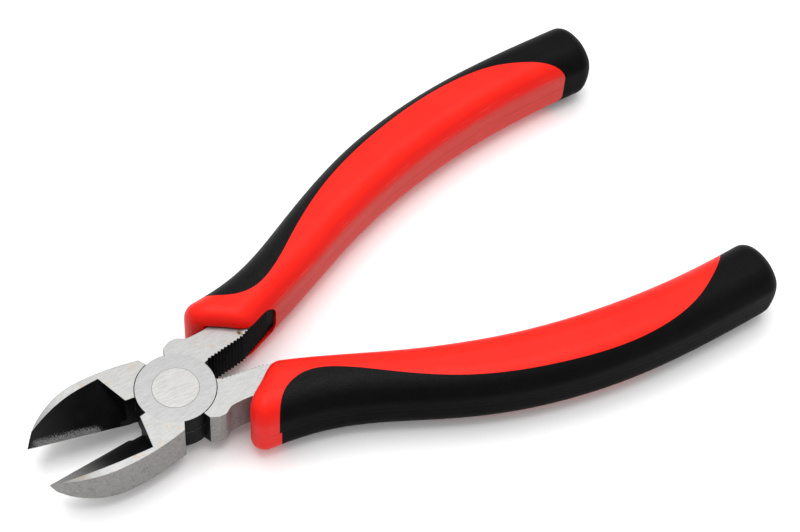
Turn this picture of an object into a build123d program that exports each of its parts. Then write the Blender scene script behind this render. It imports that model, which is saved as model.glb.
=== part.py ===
"""Diagonal cutting pliers: two forged halves in a riveted lap joint, each with a two-part moulded grip.

The origin is on the pivot axis, on the lower flat face of the joint. +X points to the handles, +Y to the
handle of half A, and +Z is up. Outlines are given with y counted outwards from the middle plane, and
a side of +1 or -1 puts them on one half or the other.
"""
import os
from math import radians, sqrt, tan

from build123d import *

os.makedirs("parts", exist_ok=True)

# Joint head
head_thickness = 9.6
mid_height = head_thickness / 2
lap_gap = 0.04  # between the flat faces of the two discs
disc_radius = 8.6
disc_gap = 0.16  # between a disc and the hollow that it turns in

# Rivet: two flush heads on a narrower shank, fast in half A and running free in half B
rivet_head_radius = 5.0
rivet_head_height = 2.0
rivet_shank_radius = 3.5
running_gap = 0.05

# Jaws, drawn with the pliers open
half_opening = 8.9  # degrees between one cutting edge and the middle plane
edge_slope = tan(radians(half_opening))
tip_x = -32.2
throat_x = -12.6  # inner end of the cutting edge
throat_edge_height = 1.8
tip_edge_height = 4.9
edge_land = 0.1  # the bevels meet this far beyond the edge and leave a narrow land
hollow_grades = (0.95, 1.12)  # rise of the upper bevel per mm outwards, at the throat and at the tip
relief_grade = 1.4  # fall of the lower bevel per mm outwards
nose_start_x = -17.0
nose_radius = 36.0  # side view of the nose, above and below
shoulder = (-1.6, 6.5)  # where the jaw's outline leaves the disc
jaw_outline = [
    (-3.4, 10.1), (-9.5, 11.25), (-15.0, 11.7), (-19.0, 11.6), (-22.5, 11.0),
    (-25.5, 9.9), (-28.5, 8.3), (-30.6, 6.6), (tip_x, -tip_x * edge_slope),
]  # fmt: skip
jaw_inner = [(-12.0, 2.7), (-9.2, 2.4), (-6.5, 1.8)]  # from the throat back to the joint
hollow_walls = {"half_a": [(-10.9, 10.0), (-9.7, 2.3)], "half_b": [(-12.8, 10.1), (-10.2, 1.6)]}

# Shanks and tangs
shank_step = [(1.4, 6.6), (2.55, 10.1), (4.4, 11.0), (5.8, 11.0)]
shank_outer = [(5.8, 11.0), (7.4, 10.1), (9.5, 9.8), (14.0, 10.2), (20.0, 11.5), (28.6, 14.1)]
shank_inner = [(8.3, 2.4), (5.5, 1.6)]  # from the first tooth back to the joint
tooth_pitch = 0.87
tooth_depth = 0.42
serration_start = Vector(9.2, 2.7)
serration_runs = [(11, 9.0), (11, 24.0)]  # teeth and heading in degrees of each straight run
tang_thickness = 5.0
tang_outer = [(22.0, 11.8), (39.0, 21.6), (64.5, 32.9), (94.7, 38.7), (108.0, 39.3)]
tang_inner = [(108.0, 35.7), (94.7, 34.5), (64.5, 27.7), (39.0, 17.0), (22.0, 8.0)]

# The handle of half A is slightly longer than that of half B and stands a little further out
handle_stretch = {1: 1.019, -1: 0.998}
handle_toe_out = {1: 0.4, -1: -0.05}  # degrees, about the middle of the grip
grip_middle = (64.5, 30.2)

# Grips: centre line in plan, then half widths and half thicknesses at even steps along it
grip_line = [
    (4.0, 7.7), (13.3, 10.2), (27.0, 14.1), (39.0, 19.3), (51.0, 25.0), (64.4, 30.3),
    (79.5, 34.3), (94.7, 36.6), (109.9, 37.5), (125.4, 37.4), (136.0, 36.9),
]  # fmt: skip
grip_half_widths = [8.5, 7.9, 6.6, 6.3, 6.75, 7.25, 7.4, 7.25, 7.0, 6.95, 6.9]
grip_half_heights = [8.8, 8.6, 8.3, 8.0, 7.9, 7.9, 8.0, 8.1, 8.1, 8.1, 8.1]
mouth_stations = 3  # of those steps, the ones beside the mouth
mouth_slimming = {1: 0.45, -1: 0.0}  # off both sides of the grip there
grip_corner = 5.4
grip_front = [(25.6, -4.0), (19.8, 5.2), (15.0, 9.0), (11.0, 12.2), (9.5, 15.6), (9.3, 20.0), (9.3, 30.0)]
grip_end = (130.3, 37.2)
grip_end_dome = 13.0  # radius of the domed end
grip_end_rounding = 3.4
grip_nose_rounding = 3.0
cover_thickness = 2.2  # of the black cover over the red core
lining_length = 108.0  # of the part of the core that can lie under the cover
shank_gap = 0.4  # around the shank in the mouth of the grip
mouth_outer = [(0.0, 11.6), (9.5, 10.4), (14.0, 10.7), (20.0, 12.0), (31.0, 15.2)]
mouth_end_x = 29.0
mouth_corner = 3.6
cover_outline = [
    (13.0, 21.5), (14.1, 19.0), (18.6, 13.8), (24.5, 12.3), (31.0, 14.7), (40.0, 21.2), (54.0, 30.3),
    (74.0, 37.9), (96.0, 41.2), (107.5, 39.5), (114.0, 36.5), (120.5, 31.8), (123.5, 28.0),
]  # fmt: skip
cover_turn = {1: -0.75, -1: 0.0}  # degrees, of the seam about its low point at the waist of the grip
seam_waist = (24.5, 12.3)
seam_step = 0.6  # the lower half of the seam's front end stands this much further back


# Lengths for what is cut away
spare = 3.0  # past a face, so that a cut goes clean through it
plan_size = 150.0  # past every outline


def on_side(points, side):
    """Plan points with y counted outwards, put on the side of +Y (1) or -Y (-1)."""
    return [(x, side * y) for x, y in points]


def on_handle(points, side):
    """Plan points of a handle, stretched and turned for that handle and put on its side."""
    middle = Vector(*grip_middle)
    placed = []
    for x, y in points:
        point = middle + (Vector(x, y) - middle).rotate(Axis.Z, handle_toe_out[side])
        placed.append((point.X * handle_stretch[side], side * point.Y))
    return placed


def edge_point(x):
    """Distance from the middle plane and height of the cutting edge at x."""
    share = (x - throat_x) / (tip_x - throat_x)
    return -x * edge_slope, throat_edge_height + share * (tip_edge_height - throat_edge_height)


def hollow_section(x):
    """Section of what the grinding wheel takes away above the cutting edge at x, on the +Y side."""
    y, z = edge_point(x)
    share = (x - throat_x) / (tip_x - throat_x)
    grade = hollow_grades[0] + share * (hollow_grades[1] - hollow_grades[0])
    y = y - edge_land
    top = head_thickness + spare
    return [(y - 2, z - 2 * grade), (y + (top - z) / grade, top), (y - 2, top)]


def relief_section(x):
    """Section of what is ground away below the cutting edge at x, on the +Y side."""
    y, z = edge_point(x)
    y = y - edge_land
    bottom = -spare
    return [(y - 2, z + 2 * relief_grade), (y + (z - bottom) / relief_grade, bottom), (y - 2, bottom)]


def ground_away(section, side, back_wall):
    """Wedge between two sections of the jaw, ended at the back wall near the joint."""
    (outer_x, outer_y), (inner_x, inner_y) = back_wall
    wall_line = Vector(inner_x - outer_x, inner_y - outer_y)
    wall = Plane(origin=(outer_x, outer_y, 0), x_dir=wall_line, z_dir=wall_line.cross(Vector(0, 0, 1)))
    with BuildPart() as wedge:
        for x in (throat_x + 2 * spare, tip_x - spare):
            with BuildSketch(Plane(origin=(x, 0, 0), x_dir=(0, 1, 0), z_dir=(1, 0, 0))):
                with BuildLine():
                    Polyline(*section(x), close=True)
                make_face()
        loft(ruled=True)
        split(bisect_by=wall, keep=Keep.TOP)
        if side < 0:
            mirror(about=Plane.XZ, mode=Mode.REPLACE)
    return wedge.part


def serrated_line():
    """Teeth along the inner side of the shank, from the joint to the grip."""
    points = []
    crest = serration_start
    for tooth_count, heading in serration_runs:
        along = Vector(1, 0).rotate(Axis.Z, heading)
        outwards = Vector(0, 1).rotate(Axis.Z, heading)
        for _ in range(tooth_count):
            root = crest + along * (tooth_pitch / 2) + outwards * tooth_depth
            points += [(crest.X, crest.Y), (root.X, root.Y)]
            crest = crest + along * tooth_pitch
    return points


def forge_half(name, side, disc_on_top):
    """One forged half: its shank lies on the given side and its jaw on the other."""
    disc_floor = mid_height + lap_gap / 2 if disc_on_top else 0
    pocket_floor = -spare if disc_on_top else mid_height - lap_gap / 2
    pocket_height = mid_height + spare + lap_gap / 2
    with BuildPart() as half:
        # Jaw, from the shoulder at the joint round the nose and back along the cutting edge
        with BuildSketch():
            with BuildLine():
                Polyline(*on_side([shoulder, jaw_outline[0]], -side))
                Spline(*on_side(jaw_outline, -side))
                throat = (throat_x, -throat_x * edge_slope)
                Polyline(*on_side([jaw_outline[-1], throat] + jaw_inner + [shoulder], -side))
            make_face()
        extrude(amount=head_thickness)
        # Shank, with a stepped outer side and a serrated inner side
        with BuildSketch():
            with BuildLine():
                Polyline(*on_side(shank_step, side))
                Spline(*on_side(shank_outer, side), tangents=[(1, -0.2 * side), (1, 0.4 * side)])
                teeth = serrated_line()
                shank_end_x = shank_outer[-1][0]
                back = [shank_outer[-1], (shank_end_x, teeth[-1][1])] + teeth[::-1] + shank_inner
                Polyline(*on_side(back + [shank_step[0]], side))
            make_face()
        extrude(amount=head_thickness)
        # The side view thins towards the nose, above and below
        nose_end_x = tip_x - spare
        nose_drop = nose_radius - sqrt(nose_radius**2 - (nose_end_x - nose_start_x) ** 2)
        with BuildSketch(Plane.XZ):
            with BuildLine():
                lower = TangentArc((nose_start_x, 0), (nose_end_x, nose_drop), tangent=(-1, 0))
                upper = TangentArc(
                    (nose_start_x, head_thickness), (nose_end_x, head_thickness - nose_drop), tangent=(-1, 0)
                )
                Line(lower @ 1, upper @ 1)
                Polyline(lower @ 0, (shank_end_x, 0), (shank_end_x, head_thickness), upper @ 0)
            make_face()
        extrude(amount=plan_size, both=True, mode=Mode.INTERSECT)
        # The bevels that make the cutting edge
        add(ground_away(hollow_section, -side, hollow_walls[name]), mode=Mode.SUBTRACT)
        add(ground_away(relief_section, -side, hollow_walls[name]), mode=Mode.SUBTRACT)
        # Lap joint: a hollow for the other half's disc, and this half's own disc
        with BuildSketch(Plane.XY.offset(pocket_floor)):
            Circle(disc_radius + disc_gap)
        extrude(amount=pocket_height, mode=Mode.SUBTRACT)
        with BuildSketch(Plane.XY.offset(disc_floor)):
            Circle(disc_radius)
        extrude(amount=mid_height - lap_gap / 2)
        # Tang inside the grip
        with BuildSketch(Plane.XY.offset(mid_height)):
            with BuildLine():
                Spline(*on_side(tang_outer, side))
                Line(*on_side([tang_outer[-1], tang_inner[0]], side))
                Spline(*on_side(tang_inner, side))
                Line(*on_side([tang_inner[-1], tang_outer[0]], side))
            make_face()
        extrude(amount=tang_thickness / 2, both=True)
        # Stepped hole for the rivet, tight in half A and with a running gap in half B
        gap = 0 if disc_on_top else running_gap
        face = head_thickness if disc_on_top else 0
        inwards = -1 if disc_on_top else 1
        with BuildSketch(Plane.XY.offset(face)):
            Circle(rivet_head_radius + gap)
        extrude(amount=inwards * (rivet_head_height + gap), mode=Mode.SUBTRACT)
        with BuildSketch(Plane.XY.offset(face)):
            Circle(rivet_shank_radius + gap)
        extrude(amount=inwards * mid_height, mode=Mode.SUBTRACT)
    half.part.label = name
    export_step(half.part, f"parts/{name}.step")
    return half.part


half_a = forge_half("half_a", 1, True)
half_b = forge_half("half_b", -1, False)

# Rivet: a shank between two flush heads
with BuildPart() as pivot_rivet:
    with BuildSketch():
        Circle(rivet_head_radius)
    extrude(amount=rivet_head_height)
    with BuildSketch(Plane.XY.offset(rivet_head_height)):
        Circle(rivet_shank_radius)
    extrude(amount=head_thickness - 2 * rivet_head_height)
    with BuildSketch(Plane.XY.offset(head_thickness - rivet_head_height)):
        Circle(rivet_head_radius)
    extrude(amount=rivet_head_height)
pivot_rivet.part.label = "pivot_rivet"
export_step(pivot_rivet.part, "parts/pivot_rivet.step")


def rounded_bar(side, inset):
    """Bar of rounded section along the grip's centre line, smaller by inset all round."""
    with BuildLine() as spine:
        line = Spline(*on_handle(grip_line, side))
    half_widths = grip_half_widths.copy()
    for station in range(mouth_stations):
        half_widths[station] -= mouth_slimming[side]
    with BuildPart() as bar:
        centres = on_handle(grip_line, side)
        for (x, y), half_width, half_height in zip(centres, half_widths, grip_half_heights):
            along = line % line.param_at_point((x, y))
            section = Plane(origin=(x, y, mid_height), x_dir=along.rotate(Axis.Z, 90), z_dir=along)
            with BuildSketch(section):
                RectangleRounded(2 * (half_width - inset), 2 * (half_height - inset), grip_corner - inset)
        loft()
    return bar.part


def beyond_dome(side):
    """What the domed end of the grip leaves out of the bar."""
    ((end_x, end_y),) = on_handle([grip_end], side)
    with BuildPart() as outside:
        with Locations((end_x - grip_end_dome / 2, end_y, mid_height)):
            Box(plan_size, plan_size, plan_size, align=(Align.MIN, Align.CENTER, Align.CENTER))
        with Locations((end_x - grip_end_dome, end_y, mid_height)):
            Sphere(grip_end_dome, rotation=(0, 0, 180), mode=Mode.SUBTRACT)
    return outside.part


def grip_envelope(side):
    """The whole grip with its slanted front, rounded edges and rounded end."""
    with BuildPart() as envelope:
        add(rounded_bar(side, 0))
        with BuildSketch(Plane.XY.offset(-head_thickness)):
            with BuildLine():
                front = Spline(*on_side(grip_front, side))
                Polyline(front @ 1, *on_side([(plan_size, plan_size), (plan_size, 0)], side), front @ 0)
            make_face()
        extrude(amount=3 * head_thickness, mode=Mode.INTERSECT)
        add(beyond_dome(side), mode=Mode.SUBTRACT)
        end_face = envelope.faces().sort_by(Axis.X)[-1]
        fillet(end_face.edges(), radius=grip_end_rounding)
        front_face = envelope.faces().sort_by(Axis.X)[0]
        fillet(front_face.edges(), radius=grip_nose_rounding)
    return envelope.part


def mouth_pocket(side):
    """Room for the shank in the front of the grip, open towards the other handle."""
    open_side = [(mouth_outer[-1][0], 0.0), (mouth_outer[0][0], 0.0)]
    with BuildPart() as pocket:
        with BuildSketch(Plane.XY.offset(-shank_gap)):
            with BuildLine():
                Polyline(*on_side(mouth_outer + open_side, side), close=True)
            make_face()
        extrude(amount=head_thickness + 2 * shank_gap)
        with BuildSketch(Plane.XZ):
            with Locations((mouth_end_x / 2, mid_height)):
                slot = Rectangle(mouth_end_x, head_thickness + 2 * shank_gap)
            fillet(slot.vertices().group_by(Axis.X)[-1], radius=mouth_corner)
        extrude(amount=plan_size, both=True, mode=Mode.INTERSECT)
    return pocket.part


def cover_region(side):
    """Plan region of the cover through the grip's whole height, with a step in its front end."""
    waist = Vector(*seam_waist)
    turned = [waist + (Vector(x, y) - waist).rotate(Axis.Z, cover_turn[side]) for x, y in cover_outline]
    outline = [(point.X, point.Y) for point in turned]
    stepped = [(x + seam_step, y) for x, y in outline[:2]] + outline[2:]
    with BuildPart() as region:
        for seam_points, height in ((outline, head_thickness), (stepped, -head_thickness)):
            with BuildSketch(Plane.XY.offset(mid_height)):
                with BuildLine():
                    seam = Spline(*on_handle(seam_points, side))
                    outside = [(plan_size, 0), (plan_size, plan_size), (cover_outline[0][0], plan_size)]
                    Polyline(seam @ 1, *on_side(outside, side), seam @ 0)
                make_face()
            extrude(amount=height)
    return region.part


def mould_grip(letter, side, half):
    """Red core over the tang and black cover over the core, both cut from the same envelope."""
    envelope = grip_envelope(side)
    under_cover = cover_region(side)
    with BuildPart() as lining:
        add(rounded_bar(side, cover_thickness))
        with BuildSketch(Plane.XY.offset(-head_thickness)):
            with Locations((grip_end[0] * handle_stretch[side] - grip_end_dome / 2, 0)):
                Rectangle(lining_length, 2 * plan_size, align=(Align.MAX, Align.CENTER))
        extrude(amount=3 * head_thickness, mode=Mode.INTERSECT)
        add(envelope, mode=Mode.INTERSECT)
    with BuildPart() as core:
        add(envelope)
        add(under_cover, mode=Mode.SUBTRACT)
        add(lining.part)
        add(mouth_pocket(side), mode=Mode.SUBTRACT)
        add(half, mode=Mode.SUBTRACT)
    core.part.label = f"grip_core_{letter}"
    export_step(core.part, f"parts/grip_core_{letter}.step")
    with BuildPart() as cover:
        add(envelope)
        add(under_cover, mode=Mode.INTERSECT)
        add(lining.part, mode=Mode.SUBTRACT)
    cover.part.label = f"grip_cover_{letter}"
    export_step(cover.part, f"parts/grip_cover_{letter}.step")


mould_grip("a", 1, half_a)
mould_grip("b", -1, half_b)
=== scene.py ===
from math import cos, radians, sin, tan

import bpy
from mathutils import Matrix, Vector


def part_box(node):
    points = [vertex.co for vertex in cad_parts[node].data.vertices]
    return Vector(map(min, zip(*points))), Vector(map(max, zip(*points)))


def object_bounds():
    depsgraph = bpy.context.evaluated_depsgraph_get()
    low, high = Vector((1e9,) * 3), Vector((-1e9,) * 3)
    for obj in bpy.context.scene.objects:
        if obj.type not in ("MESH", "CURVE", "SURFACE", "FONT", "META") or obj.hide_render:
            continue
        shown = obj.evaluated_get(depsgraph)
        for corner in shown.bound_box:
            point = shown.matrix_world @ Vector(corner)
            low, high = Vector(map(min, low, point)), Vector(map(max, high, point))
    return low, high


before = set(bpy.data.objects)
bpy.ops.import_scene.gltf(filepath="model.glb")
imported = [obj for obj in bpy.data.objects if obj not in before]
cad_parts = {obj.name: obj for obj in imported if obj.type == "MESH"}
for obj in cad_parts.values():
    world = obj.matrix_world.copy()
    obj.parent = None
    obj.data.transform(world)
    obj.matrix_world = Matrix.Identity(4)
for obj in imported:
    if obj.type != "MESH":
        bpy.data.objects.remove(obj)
cad_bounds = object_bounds()

MM = 0.001
SIDES = {"half_a": 1, "half_b": -1}  # the side of +Y or -Y on which each half's handle lies

# Sizes of the steel head in millimetres, as in the frame
HEAD_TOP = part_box("pivot_rivet")[1].z / MM
HEAD_MIDDLE = HEAD_TOP / 2
RIVET_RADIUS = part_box("pivot_rivet")[1].x / MM
DISC_RADIUS = 8.6
SHOULDER_RADIUS = 10.45  # the stop faces beside the joint end here
BLADE_TURN = 8.9  # degrees between an open cutting edge and the middle plane
EDGE_SLOPE = tan(radians(BLADE_TURN))
EDGE_LAND = 0.1  # width of the narrow face along a cutting edge
THROAT_X = -12.6  # inner end of the cutting edges
TIP_X = cad_bounds[0][0] / MM
NOSE_END_X = 26.0  # where the broad front of a grip ends

# Marks on the flat faces of the steel
SCRATCH_TURN = -13.0  # degrees, of the grinding scratches
RUST_SHIFT = {"half_a": 31.0, "half_b": 4.0}  # moves the pattern of rust
RUSTY_PIT = (18.5, 5.35)  # a single deep pit on the flat of half A's shank

# Linear colours. Where there are two, the surface varies between them.
GROUND_STEEL = (0.27, 0.272, 0.27), (0.40, 0.40, 0.395)
DISC_STEEL = (0.20, 0.205, 0.21)
PALE_RUST = (0.36, 0.25, 0.12)
DEEP_RUST = (0.20, 0.135, 0.05)
SMALL_PIT = (0.05, 0.045, 0.04)
DEEP_PIT = (0.03, 0.025, 0.02)
FORGED_STEEL = (0.21, 0.205, 0.20), (0.33, 0.325, 0.315)
FORGED_PATCH = (0.15, 0.145, 0.14)
FORGED_PIT = (0.035, 0.03, 0.028)
BLACK_FINISH = (0.0012, 0.0012, 0.0016), (0.0030, 0.0030, 0.0036)
BRUSHED_STEEL = (0.25, 0.247, 0.24)
WORN_STEEL = (0.055, 0.055, 0.055), (0.23, 0.23, 0.228)
EDGE_STEEL = (0.5, 0.5, 0.49)
RIVET_STEEL = (0.30, 0.298, 0.292), (0.42, 0.417, 0.41)
RIVET_PIT = (0.10, 0.09, 0.08)
RIVET_GRIME = (0.06, 0.055, 0.05)
RED = (0.80, 0.009, 0.002), (0.84, 0.012, 0.003)
# painted shade: a deeper red laid on the rounded corners and upright faces of the red moulding
PAINTED_SHADE_RED = (0.66, 0.004, 0.001)
# painted shade and painted sheen: a dimmer, paler red for the upright red faces past the nose
PAINTED_SHADE_AND_SHEEN_RED = (0.52, 0.034, 0.025)
SCUFFED_RED = (0.72, 0.16, 0.13)
PARTING_RED = (0.35, 0.006, 0.004)
BLACK = (0.0009, 0.0009, 0.0010), (0.0016, 0.0016, 0.0017)
# dust, and a painted sheen of the overhead light, on the upper faces of the black moulding
DUST_AND_SHEEN_BLACK = (0.022, 0.022, 0.024)
PAPER = (0.95, 0.95, 0.95, 1.0)
ROOM = (1.0, 1.0, 1.0, 1.0)

# The view, in millimetres and degrees: a long lens in front of the jaws and well above them
VIEW_TARGET = (59.94, 5.8, HEAD_MIDDLE)
VIEW_AZIMUTH = -36.61
VIEW_ELEVATION = 52.90
VIEW_DISTANCE = 452.5
VIEW_ROLL = 4.83
LENS = 91.24
SENSOR_WIDTH = 36.0

# The studio, in metres
FLOOR_HALF_SIDE = 3.0
ROOM_STRENGTH = 0.85
LIGHT_TARGET = (0.05, 0.0, 0.0)  # the middle of the object


class Shader:
    """One material's node tree. Masks, numbers, colours and normals are passed on as output sockets."""

    def __init__(self, name):
        self.material = bpy.data.materials.new(name)
        self.material.use_nodes = True
        self.tree = self.material.node_tree
        self.tree.nodes.clear()
        coordinates = self.tree.nodes.new("ShaderNodeTexCoord")
        self.place = self.vector("SCALE", coordinates.outputs["Object"], scale=1 / MM)
        self.x, self.y, self.z = self.parts(self.place)
        _, self.normal_y, normal_z = self.parts(coordinates.outputs["Normal"])
        self.levelness = self.math("ABSOLUTE", normal_z)  # 1 on a level face, 0 on an upright one

    def put(self, socket, value):
        """Links value to the socket, or sets it there if it is a number, vector or colour."""
        if isinstance(value, bpy.types.NodeSocket):
            self.tree.links.new(value, socket)
        else:
            socket.default_value = value

    def parts(self, vector):
        node = self.tree.nodes.new("ShaderNodeSeparateXYZ")
        self.put(node.inputs[0], vector)
        return node.outputs[0], node.outputs[1], node.outputs[2]

    def vector(self, operation, first, second=None, scale=None):
        node = self.tree.nodes.new("ShaderNodeVectorMath")
        node.operation = operation
        self.put(node.inputs[0], first)
        if second is not None:
            self.put(node.inputs[1], second)
        if scale is not None:
            self.put(node.inputs["Scale"], scale)
        return node.outputs[0]

    def distance_in_plan(self, x=0.0, y=0.0):
        """Distance from the vertical line at x and y, which is the pivot axis at zero."""
        node = self.tree.nodes.new("ShaderNodeVectorMath")
        node.operation = "DISTANCE"
        self.put(node.inputs[0], self.vector("MULTIPLY", self.place, (1.0, 1.0, 0.0)))
        self.put(node.inputs[1], (x, y, 0.0))
        return node.outputs["Value"]

    def math(self, operation, first, second=0.0):
        node = self.tree.nodes.new("ShaderNodeMath")
        node.operation = operation
        self.put(node.inputs[0], first)
        self.put(node.inputs[1], second)
        return node.outputs[0]

    def ramp(self, value, low, high, start=0.0, end=1.0):
        """Goes smoothly from start at low to end at high. low may be the larger."""
        node = self.tree.nodes.new("ShaderNodeMapRange")
        node.interpolation_type = "SMOOTHSTEP"
        if low > high:
            low, high, start, end = high, low, end, start
        self.put(node.inputs["Value"], value)
        node.inputs["From Min"].default_value = low
        node.inputs["From Max"].default_value = high
        node.inputs["To Min"].default_value = start
        node.inputs["To Max"].default_value = end
        return node.outputs[0]

    def both(self, *masks):
        """Product of masks."""
        result = masks[0]
        for mask in masks[1:]:
            result = self.math("MULTIPLY", result, mask)
        return result

    def noise(self, scale, detail=3.0, roughness=0.6, stretch=(1, 1, 1), turn=0.0, shift=0.0):
        """Noise with scale cells per millimetre, stretched along turned axes."""
        mapping = self.tree.nodes.new("ShaderNodeMapping")
        self.put(mapping.inputs["Vector"], self.place)
        mapping.inputs["Rotation"].default_value = (0, 0, radians(-turn))
        mapping.inputs["Scale"].default_value = stretch
        mapping.inputs["Location"].default_value = (shift, shift, shift)
        node = self.tree.nodes.new("ShaderNodeTexNoise")
        self.put(node.inputs["Vector"], mapping.outputs[0])
        node.inputs["Scale"].default_value = scale
        node.inputs["Detail"].default_value = detail
        node.inputs["Roughness"].default_value = roughness
        return node.outputs["Fac"]

    def mix(self, factor, first, second):
        """Colour mix. A colour is given as three linear numbers or a socket."""
        node = self.tree.nodes.new("ShaderNodeMix")
        node.data_type = "RGBA"
        self.put(node.inputs["Factor"], factor)
        colour_inputs = [socket for socket in node.inputs if socket.type == "RGBA"]
        for socket, value in zip(colour_inputs, (first, second)):
            self.put(socket, value if isinstance(value, bpy.types.NodeSocket) else (*value, 1.0))
        return [socket for socket in node.outputs if socket.type == "RGBA"][0]

    def cover(self, colour, upper, mask, strength=1.0):
        """Colour with upper laid over it where the mask is, at that strength."""
        return self.mix(self.math("MULTIPLY", mask, strength), colour, upper)

    def blend(self, factor, first, second):
        """Number mix."""
        node = self.tree.nodes.new("ShaderNodeMix")
        self.put(node.inputs[0], factor)
        self.put(node.inputs[2], first)
        self.put(node.inputs[3], second)
        return node.outputs[0]

    def edge_break(self, radius):
        """Normal that rounds sharp edges by radius millimetres."""
        node = self.tree.nodes.new("ShaderNodeBevel")
        node.samples = 6
        node.inputs["Radius"].default_value = radius * MM
        return node.outputs[0]

    def bump(self, height, distance, normal=None):
        """Bump whose height of 1 is distance millimetres."""
        node = self.tree.nodes.new("ShaderNodeBump")
        node.inputs["Distance"].default_value = distance * MM
        self.put(node.inputs["Height"], height)
        if normal is not None:
            self.put(node.inputs["Normal"], normal)
        return node.outputs[0]

    def finish(self, **inputs):
        """Puts the surface together and returns the material."""
        surface = self.tree.nodes.new("ShaderNodeBsdfPrincipled")
        for name, value in inputs.items():
            self.put(surface.inputs[name.replace("_", " ")], value)
        output = self.tree.nodes.new("ShaderNodeOutputMaterial")
        self.tree.links.new(surface.outputs[0], output.inputs["Surface"])
        return self.material


def ground_faces(s, node_name, from_axis, pits):
    """Colour and scratches of the level faces, with small pits and pale rust."""
    scratches = s.noise(7.0, detail=4.0, roughness=0.7, stretch=(0.05, 1.5, 1.0), turn=SCRATCH_TURN)
    fine_scratches = s.noise(16.0, stretch=(0.04, 1.3, 1.0), turn=SCRATCH_TURN - 3.0, shift=7.0)
    streak = s.blend(0.5, scratches, fine_scratches)
    rust = s.both(
        s.ramp(s.noise(0.32, detail=2.0, roughness=0.5, shift=RUST_SHIFT[node_name]), 0.56, 0.66),
        s.ramp(s.noise(2.0, detail=4.0, roughness=0.65, shift=21.0), 0.46, 0.6),
        s.ramp(from_axis, 9.0, 10.0),
    )
    colour = s.mix(s.ramp(streak, 0.32, 0.68), *GROUND_STEEL)
    colour = s.cover(colour, DISC_STEEL, s.ramp(from_axis, DISC_RADIUS + 0.1, DISC_RADIUS - 0.1), 0.16)
    colour = s.cover(colour, PALE_RUST, rust, 0.55)
    colour = s.cover(colour, SMALL_PIT, s.ramp(pits, 0.70, 0.78), 0.7)
    if node_name == "half_a":
        from_pit = s.math("ADD", s.distance_in_plan(*RUSTY_PIT), s.ramp(pits, 0.3, 0.7, -0.2, 0.2))
        colour = s.cover(colour, DEEP_RUST, s.ramp(from_pit, 0.8, 0.45), 0.75)
        colour = s.cover(colour, DEEP_PIT, s.ramp(from_pit, 0.35, 0.15))
    return colour, streak


def forged_walls(s, grit, pits):
    """Colour and height of the side walls: fine marks across them, dark patches and deep pits."""
    marks = s.noise(9.0, stretch=(1.0, 1.0, 0.12), shift=2.0)
    patches = s.noise(0.8, shift=17.0)
    colour = s.mix(s.ramp(s.blend(0.5, marks, grit), 0.35, 0.65), *FORGED_STEEL)
    colour = s.cover(colour, FORGED_PATCH, s.ramp(patches, 0.5, 0.75), 0.5)
    colour = s.cover(colour, FORGED_PIT, s.ramp(pits, 0.63, 0.70), 0.8)
    height = s.math("SUBTRACT", s.math("MULTIPLY", marks, 0.4), s.ramp(pits, 0.58, 0.68))
    return colour, height


def black_bevels(s, side, edge_distance, grit, worn_edge, bare_tip):
    """Colour and wear of the rest: specks of bare steel by the edge, brushed grey towards the tip."""
    cloud = s.noise(0.25, roughness=0.5)
    speckle = s.noise(4.5, detail=5.0, roughness=0.72, shift=5.0)
    reach = s.both(
        s.ramp(edge_distance, 2.6, 0.2),
        s.ramp(s.x, THROAT_X - 0.9, THROAT_X - 5.4),
        s.ramp(s.x, TIP_X - 1.3, TIP_X + 2.7),
    )
    worn = s.ramp(s.math("ADD", speckle, s.math("MULTIPLY", reach, 0.55)), 0.86, 1.0)
    worn = s.math("MULTIPLY", worn, worn_edge)
    brushed = s.noise(8.0, stretch=(0.08, 1.2, 1.2), turn=-side * BLADE_TURN, shift=8.0)
    bare = s.both(s.ramp(s.x, TIP_X + 13.7, TIP_X + 1.2), s.ramp(brushed, 0.2, 0.7, 0.5, 1.0))
    colour = s.mix(s.ramp(cloud, 0.35, 0.7), *BLACK_FINISH)
    colour = s.cover(colour, BRUSHED_STEEL, bare, bare_tip)
    colour = s.mix(worn, colour, s.mix(s.ramp(grit, 0.35, 0.65), *WORN_STEEL))
    return colour, worn


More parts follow.
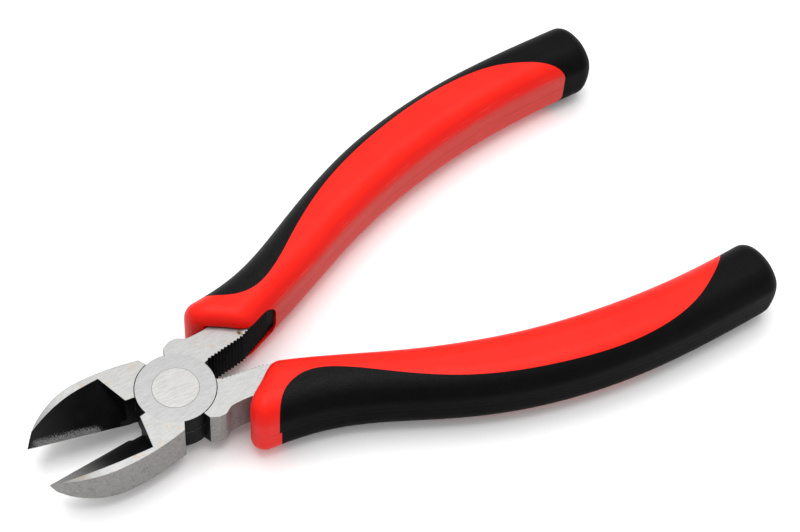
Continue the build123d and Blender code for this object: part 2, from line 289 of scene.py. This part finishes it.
def half_steel(node_name, worn_edge, bare_tip):
    """Ground flat faces, forged side walls and black bevels, stop faces and teeth.

    worn_edge and bare_tip say how far the black finish is worn off along the cutting edge and
    off the bevel near the tip, from 0 to 1.
    """
    side = SIDES[node_name]
    s = Shader(node_name + "_steel")
    from_axis = s.distance_in_plan()
    pits = s.noise(2.4, shift=3.0)
    grit = s.noise(7.0, detail=2.0, shift=13.0)

    # Where each finish lies
    ground = s.ramp(s.levelness, 0.84, 0.88)
    upright = s.ramp(s.levelness, 0.4, 0.35)
    is_jaw = s.ramp(s.x, 0.0, -0.5)
    outward_normal = s.math("MULTIPLY", s.normal_y, s.blend(is_jaw, side, -side))
    wall = s.both(
        upright,
        s.ramp(from_axis, SHOULDER_RADIUS - 0.1, SHOULDER_RADIUS),
        s.ramp(outward_normal, -0.12, -0.06),
    )
    edge_line = s.math("MULTIPLY", s.x, -EDGE_SLOPE)
    edge_distance = s.math("SUBTRACT", s.math("MULTIPLY", s.y, -side), edge_line)
    along_blade = s.ramp(s.x, THROAT_X + 0.3, THROAT_X - 0.3)
    land = s.both(upright, s.ramp(edge_distance, EDGE_LAND, EDGE_LAND / 2), along_blade)

    ground_colour, streak = ground_faces(s, node_name, from_axis, pits)
    wall_colour, wall_height = forged_walls(s, grit, pits)
    black_colour, worn = black_bevels(s, side, edge_distance, grit, worn_edge, bare_tip)
    colour = s.mix(ground, black_colour, ground_colour)
    colour = s.mix(wall, colour, wall_colour)
    colour = s.mix(land, colour, EDGE_STEEL)
    metal = s.math("MAXIMUM", s.math("MAXIMUM", ground, land), s.math("MULTIPLY", wall, 0.75))
    roughness = s.blend(ground, 0.45, s.ramp(streak, 0.3, 0.7, 0.46, 0.36))
    roughness = s.blend(wall, roughness, 0.55)
    height = s.blend(wall, s.math("MULTIPLY", worn, 0.3), wall_height)
    height = s.blend(ground, height, s.math("MULTIPLY", streak, 0.22))
    return s.finish(
        Base_Color=colour,
        Metallic=metal,
        Roughness=roughness,
        Specular_IOR_Level=0.06,
        Normal=s.bump(height, 0.06, s.edge_break(0.12)),
    )


def rivet_steel():
    """The flush rivet head, ground with the joint but brighter, with grime round it."""
    s = Shader("rivet_steel")
    scratches = s.noise(
        7.0, detail=4.0, roughness=0.7, stretch=(0.05, 1.5, 1.0), turn=SCRATCH_TURN + 6.0, shift=5.0
    )
    pits = s.noise(1.6, shift=14.0)
    rim = s.ramp(s.distance_in_plan(), RIVET_RADIUS - 0.09, RIVET_RADIUS - 0.03)
    colour = s.mix(s.ramp(scratches, 0.32, 0.68), *RIVET_STEEL)
    colour = s.cover(colour, RIVET_PIT, s.ramp(pits, 0.70, 0.76), 0.6)
    colour = s.cover(colour, RIVET_GRIME, rim)
    return s.finish(
        Base_Color=colour,
        Metallic=1.0,
        Roughness=s.ramp(scratches, 0.3, 0.7, 0.46, 0.36),
        Specular_IOR_Level=0.1,
        Normal=s.bump(scratches, 0.013),
    )


def parting_line(s, half_width):
    """Mask of the mould's parting line, on the sides at mid height."""
    from_middle = s.math("ABSOLUTE", s.math("SUBTRACT", s.z, HEAD_MIDDLE))
    return s.both(s.ramp(from_middle, half_width, half_width / 3), s.ramp(s.levelness, 0.4, 0.2))


def red_moulding():
    """Satin hard plastic with a fine skin, with painted shade on its rounded corners and upright faces.
    Past the nose, its sides are scuffed and get a dimmer, paler red as painted shade and sheen.
    """
    s = Shader("red_moulding")
    skin = s.noise(2.4, roughness=0.5)
    cloud = s.noise(0.12, detail=2.0, roughness=0.5, shift=4.0)
    past_nose = s.ramp(s.x, NOSE_END_X, NOSE_END_X + 6.0)
    scuffs = s.both(
        s.ramp(s.noise(1.6, stretch=(0.05, 0.05, 1.6), shift=6.0), 0.52, 0.68),
        s.ramp(s.noise(0.2, detail=2.0, roughness=0.5, shift=15.0), 0.35, 0.6),
        s.ramp(s.levelness, 0.75, 0.35),
        past_nose,
    )
    # painted shade and sheen: past the nose the upright faces get a dimmer, paler red for less light
    # and a pale reflection of the room
    side_shade_and_sheen = s.both(s.ramp(s.levelness, 0.42, 0.12), past_nose)
    parting = parting_line(s, 0.15)
    colour = s.mix(s.ramp(cloud, 0.3, 0.7), *RED)
    # painted shade: the rounded corners and upright faces are darkened because they get less light than
    # the top
    colour = s.cover(colour, PAINTED_SHADE_RED, s.ramp(s.levelness, 0.93, 0.6), 0.8)
    colour = s.cover(colour, PAINTED_SHADE_AND_SHEEN_RED, side_shade_and_sheen, 0.9)
    colour = s.cover(colour, SCUFFED_RED, scuffs, 0.3)
    colour = s.cover(colour, PARTING_RED, parting, 0.45)
    height = s.math("SUBTRACT", s.math("MULTIPLY", skin, 0.12), parting)
    height = s.math("SUBTRACT", height, s.math("MULTIPLY", scuffs, 0.25))
    return s.finish(
        Base_Color=colour,
        Roughness=s.math("ADD", s.ramp(skin, 0.3, 0.7, 0.42, 0.5), s.math("MULTIPLY", scuffs, 0.15)),
        Specular_IOR_Level=0.18,
        Normal=s.bump(height, 0.05),
    )


def black_moulding():
    """Soft moulding with a fine grain and a parting line. Its upper faces carry dust and a painted
    sheen, more towards the nose.
    """
    s = Shader("black_moulding")
    grain = s.noise(4.0)
    cloud = s.noise(0.2, detail=2.0, roughness=0.5, shift=9.0)
    # real dust specks on the upper faces, also standing in for a painted sheen of the overhead light
    # there, stronger towards the nose
    dust_and_sheen = s.both(
        s.ramp(s.noise(7.0, roughness=0.65, shift=19.0), 0.42, 0.66),
        s.ramp(s.levelness, 0.6, 0.97),
        s.ramp(s.x, 95.0, 45.0, 0.25, 1.0),
    )
    colour = s.mix(s.ramp(cloud, 0.3, 0.7), *BLACK)
    colour = s.cover(colour, DUST_AND_SHEEN_BLACK, dust_and_sheen, 0.6)
    height = s.math("SUBTRACT", s.math("MULTIPLY", grain, 0.6), parting_line(s, 0.2))
    return s.finish(
        Base_Color=colour,
        Roughness=s.ramp(grain, 0.3, 0.7, 0.40, 0.56),
        Specular_IOR_Level=s.ramp(s.levelness, 0.2, 0.8, 0.028, 0.065),
        Normal=s.bump(height, 0.06),
    )


def dress(node_name, material):
    """Gives a CAD node its material in every slot."""
    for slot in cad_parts[node_name].material_slots:
        slot.material = material


dress("half_a", half_steel("half_a", worn_edge=0.2, bare_tip=0.9))
dress("half_b", half_steel("half_b", worn_edge=1.0, bare_tip=0.06))
dress("pivot_rivet", rivet_steel())
red = red_moulding()
black = black_moulding()
for letter in "ab":
    dress("grip_core_" + letter, red)
    dress("grip_cover_" + letter, black)


def make_floor():
    """A plain pale surface under the grips."""
    ground_height = cad_bounds[0][2]
    corners = [
        (side_x * FLOOR_HALF_SIDE, side_y * FLOOR_HALF_SIDE, ground_height)
        for side_x, side_y in [(-1, -1), (1, -1), (1, 1), (-1, 1)]
    ]
    mesh = bpy.data.meshes.new("floor")
    mesh.from_pydata(corners, [], [(0, 1, 2, 3)])
    paper = Shader("floor_paper").finish(Base_Color=PAPER, Roughness=0.8, Specular_IOR_Level=0.1)
    mesh.materials.append(paper)
    floor = bpy.data.objects.new("floor", mesh)
    bpy.context.scene.collection.objects.link(floor)


def looking(place, target, roll=0.0):
    """World matrix of something at place whose -Z looks at target."""
    back = (place - target).normalized()
    right = Vector((0, 0, 1)).cross(back).normalized()
    up = back.cross(right)
    turn = Matrix((right, up, back)).transposed().to_4x4()
    return Matrix.Translation(place) @ turn @ Matrix.Rotation(roll, 4, "Z")


def from_angles(azimuth, elevation):
    """Direction towards a viewer at that azimuth and elevation, in degrees."""
    azimuth = radians(azimuth)
    elevation = radians(elevation)
    return Vector((sin(azimuth) * cos(elevation), -cos(azimuth) * cos(elevation), sin(elevation)))


def make_camera():
    data = bpy.data.cameras.new("camera")
    data.sensor_width = SENSOR_WIDTH
    data.lens = LENS
    data.clip_start = 0.01
    target = Vector(VIEW_TARGET) * MM
    place = target + from_angles(VIEW_AZIMUTH, VIEW_ELEVATION) * VIEW_DISTANCE * MM
    camera = bpy.data.objects.new("camera", data)
    camera.matrix_world = looking(place, target, radians(VIEW_ROLL))
    bpy.context.scene.collection.objects.link(camera)
    bpy.context.scene.camera = camera


def soft_box(name, azimuth, elevation, distance, side, power):
    """A square studio light aimed at the middle of the object."""
    data = bpy.data.lights.new(name, "AREA")
    data.shape = "SQUARE"
    data.size = side
    data.energy = power
    light = bpy.data.objects.new(name, data)
    target = Vector(LIGHT_TARGET)
    light.matrix_world = looking(target + from_angles(azimuth, elevation) * distance, target)
    bpy.context.scene.collection.objects.link(light)


def make_studio():
    """A pale room and a wide soft light overhead."""
    world = bpy.data.worlds.new("studio")
    world.use_nodes = True
    background = world.node_tree.nodes["Background"]
    background.inputs["Color"].default_value = ROOM
    background.inputs["Strength"].default_value = ROOM_STRENGTH
    bpy.context.scene.world = world
    soft_box("key_light", azimuth=150.0, elevation=82.0, distance=1.3, side=1.1, power=12.5)
    bpy.context.scene.view_settings.view_transform = "Standard"


make_floor()
make_camera()
make_studio()
